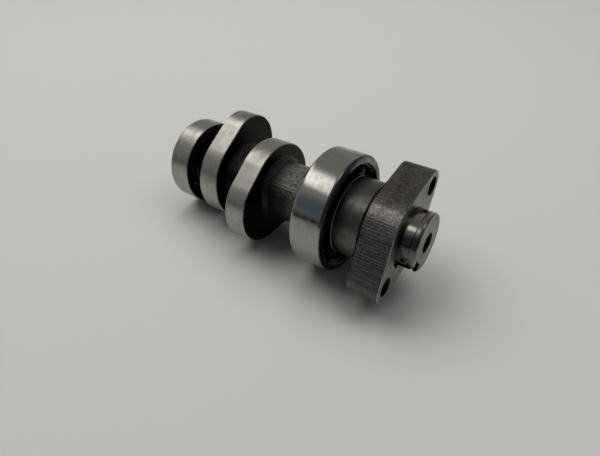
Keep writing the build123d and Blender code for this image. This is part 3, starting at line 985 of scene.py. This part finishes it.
def cage_rivets(name, bearing):
    """Every rivet of one cage, each with a domed head on both sides."""
    head, shank, rise = bearing.rivet * RIVET_HEAD_SHARE, bearing.rivet / 2, bearing.rivet / 2
    dome = [(rise * cos(t), head * sin(t)) for t in np.radians((4, 25, 45, 65, 90))]
    profile = [(-bearing.sheet - x, r) for x, r in dome]
    profile += [(-bearing.sheet, shank), (bearing.sheet, shank)]
    profile += [(bearing.sheet + x, r) for x, r in dome[::-1]]
    points, faces = [], []
    offset = 0
    for i in range(BALLS):
        p, f, _ = grid(round_bar(ball_place(bearing, i + 0.5), profile, RIVET_AROUND))
        faces += [tuple(v + offset for v in face) for face in f]
        points.append(p)
        offset += len(p)
    return new_object(name + "_rivets", np.concatenate(points), faces, [cage_steel])


def ball(name, bearing, index):
    """One ball, closed by tiny caps at its ends along the shaft."""
    r = bearing.ball / 2
    profile = [(r * cos(t), r * sin(t)) for t in np.linspace(0.01, pi - 0.01, 25)]
    rings = round_bar(ball_place(bearing, index), profile, BALL_AROUND)
    return solid(f"{name}_steel_ball_{index + 1}", rings, ball_steel, BALL_SMOOTH_ANGLE)


# ---- pieces, bodies and CAD nodes
def keep(obj, body, material_slot, *nodes):
    """Hands one piece over: the body it rides and the CAD nodes that it replaces; its material's slot is not
    used.
    """
    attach(obj, body)
    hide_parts(*nodes)


keep(camshaft(), "camshaft", "camshaft_steel", "camshaft")
keep(spacer_collar(), "camshaft", "collar_steel", "spacer_collar")
keep(sprocket_flange(), "camshaft", "flange_steel", "sprocket_flange")
keep(flange_key(), "camshaft", "key_steel", "flange_key")
# the front inner ring's front edge takes the painted highlight; the rear one's stays plain
for end, bearing, steel, edge_steel in (("front", FRONT, ring_ground, worn_edge_and_highlight),
                                        ("rear", REAR, rear_ring_ground, ring_face)):
    keep(outer_ring(end, bearing, steel), end + "_bearing_outer", "bearing_steel", end + "_outer_ring")
    keep(inner_ring(end, bearing, edge_steel), "camshaft", "bearing_steel", end + "_inner_ring")
    cage_body = end + "_bearing_cage"
    keep(cage_half(end, bearing, 1), cage_body, "cage_steel", end + "_cage_front")
    keep(cage_half(end, bearing, -1), cage_body, "cage_steel", end + "_cage_rear")
    keep(cage_rivets(end, bearing), cage_body, "cage_steel", end + "_cage_rivets")
    for index in range(BALLS):
        keep(ball(end, bearing, index), cage_body, "ball_steel", f"{end}_ball_{index + 1}")

# ---- floor, light and camera
FLOOR_SIZE = 6.0
FLOOR_COLOUR = (0.472, 0.481, 0.467)
FLOOR_ROUGHNESS = 0.55
FLOOR_SPECULAR = 0.2
BACKDROP_COLOUR = (0.51, 0.52, 0.505)
HORIZON_TOP = 0.20
HORIZON_LOW = 0.08
floor_mesh = bpy.data.meshes.new("floor")
reach = FLOOR_SIZE / 2
floor_corners = [(-reach, -reach, 0), (reach, -reach, 0), (reach, reach, 0), (-reach, reach, 0)]
floor_mesh.from_pydata(floor_corners, [], [(0, 1, 2, 3)])
floor = bpy.data.objects.new("floor", floor_mesh)
bpy.context.scene.collection.objects.link(floor)
pale_floor = Shader("pale_floor", FLOOR_COLOUR, FLOOR_ROUGHNESS, metallic=0.0)
pale_floor.surface.inputs["Specular IOR Level"].default_value = FLOOR_SPECULAR
floor_mesh.materials.append(pale_floor.material)


def studio_world():
    """Dim room with two lamps, cooler and darker on one side; the camera sees a pale backdrop."""
    world = bpy.data.worlds.new("room")
    bpy.context.scene.world = world
    world.use_nodes = True
    tree = Nodes(world.node_tree)
    tree.nodes.clear()
    direction = tree.node("ShaderNodeTexCoord").outputs["Generated"]
    height = tree.node("ShaderNodeSeparateXYZ", Vector=direction).outputs[2]

    def background(colour, strength):
        return tree.node("ShaderNodeBackground", Color=(*colour, 1), Strength=strength).outputs[0]

    def mix(factor, a, b):
        n = tree.node("ShaderNodeMixShader")
        for socket, value in zip(n.inputs, (factor, a, b)):
            tree.put(socket, value)
        return n.outputs[0]

    def facing(azimuth, elevation):
        """Cosine of the angle between the sky's direction and this one."""
        a, e = radians(azimuth), radians(elevation)
        n = tree.node("ShaderNodeVectorMath", {"operation": "DOT_PRODUCT"})
        tree.put(n.inputs[0], direction)
        tree.put(n.inputs[1], (cos(a) * cos(e), sin(a) * cos(e), sin(e)))
        return n.outputs["Value"]

    def towards(azimuth, elevation, wide, narrow):
        """1 inside a soft round patch of sky round that direction, 0 outside it."""
        return tree.ramp(facing(azimuth, elevation), cos(radians(wide)), cos(radians(narrow)))

    def stripe(azimuth, elevation, shift, wide, narrow):
        """1 inside a soft stripe of sky square to that direction, 0 outside it."""
        off = tree.math("SUBTRACT", facing(azimuth, elevation), sin(radians(shift)))
        return tree.ramp(tree.math("ABSOLUTE", off), sin(radians(wide)), sin(radians(narrow)))

    room = background((1.0, 0.975, 0.93), 0.33)
    dim = background((0.95, 0.97, 1.0), 0.10)
    cool = background((0.62, 0.80, 1.0), 0.19)
    dark = background((0.9, 0.95, 1.0), 0.03)
    top_lamp = background((1.0, 0.985, 0.92), 1.2)
    long_lamp = background((1.0, 0.985, 0.92), 2.4)
    sky = mix(towards(0, 38, 85, 55), room, dim)
    sky = mix(towards(-112, 26, 23, 11), sky, cool)
    sky = mix(towards(-62, 15, 45, 28), sky, dark)
    low = tree.ramp(height, HORIZON_TOP, HORIZON_LOW)
    sky = mix(tree.math("MULTIPLY", low, towards(-120, 2, 62, 30)), sky, dark)
    sky = mix(towards(60, 80, 15, 8), sky, top_lamp)
    lamp_patch = tree.math("MULTIPLY", stripe(44.5, 33.8, 2.8, 13.5, 4), towards(-174, 51, 32, 18))
    sky = mix(lamp_patch, sky, long_lamp)
    camera_ray = tree.node("ShaderNodeLightPath").outputs["Is Camera Ray"]
    sky = mix(camera_ray, sky, background(BACKDROP_COLOUR, 1.0))
    tree.node("ShaderNodeOutputWorld", Surface=sky)


studio_world()

# fill lights, with the place and power of each
FILL_LIGHTS = (((-0.45, -0.05, 0.70), 2.3), ((-0.22, 0.30, 0.75), 2.5), ((0.28, 0.30, 0.75), 1.8))
FILL_SIZE = 0.55
FILL_COLOUR = (1.0, 0.99, 0.96)


def fill_light(place, power):
    """Wide, soft light aimed at the row's origin, which leaves no highlights."""
    data = bpy.data.lights.new("fill", "AREA")
    data.shape = "DISK"
    data.size = FILL_SIZE
    data.energy = power
    data.color = FILL_COLOUR
    light = bpy.data.objects.new("fill", data)
    light.location = place
    light.rotation_euler = (-Vector(place)).to_track_quat("-Z", "Y").to_euler()
    light.visible_glossy = False
    bpy.context.scene.collection.objects.link(light)


for place, power in FILL_LIGHTS:
    fill_light(place, power)

# camera, fitted to the circles of the shaft in the photograph, in the shaft's own directions
CAMERA_PLACE = (58.946, -107.697, 100.429)
CAMERA_LOOK = Vector((-0.457156, 0.602746, -0.653996))
CAMERA_RIGHT = Vector((0.820389, 0.569757, -0.048360))
FOCAL_PIXELS = 459.93
IMAGE_WIDTH = 600
CLIP_START = 0.005
camera_data = bpy.data.cameras.new("camera")
camera_data.lens = camera_data.sensor_width * FOCAL_PIXELS / IMAGE_WIDTH
camera_data.clip_start = CLIP_START
camera = bpy.data.objects.new("camera", camera_data)
back = -(turn @ CAMERA_LOOK).normalized()
right = (turn @ CAMERA_RIGHT).normalized()
aim = Matrix((right, back.cross(right), back)).transposed().to_4x4()
camera.matrix_world = Matrix.Translation(Vector(to_row([CAMERA_PLACE])[0])) @ aim
bpy.context.scene.collection.objects.link(camera)
bpy.context.scene.camera = camera
bpy.context.scene.view_settings.view_transform = "Standard"
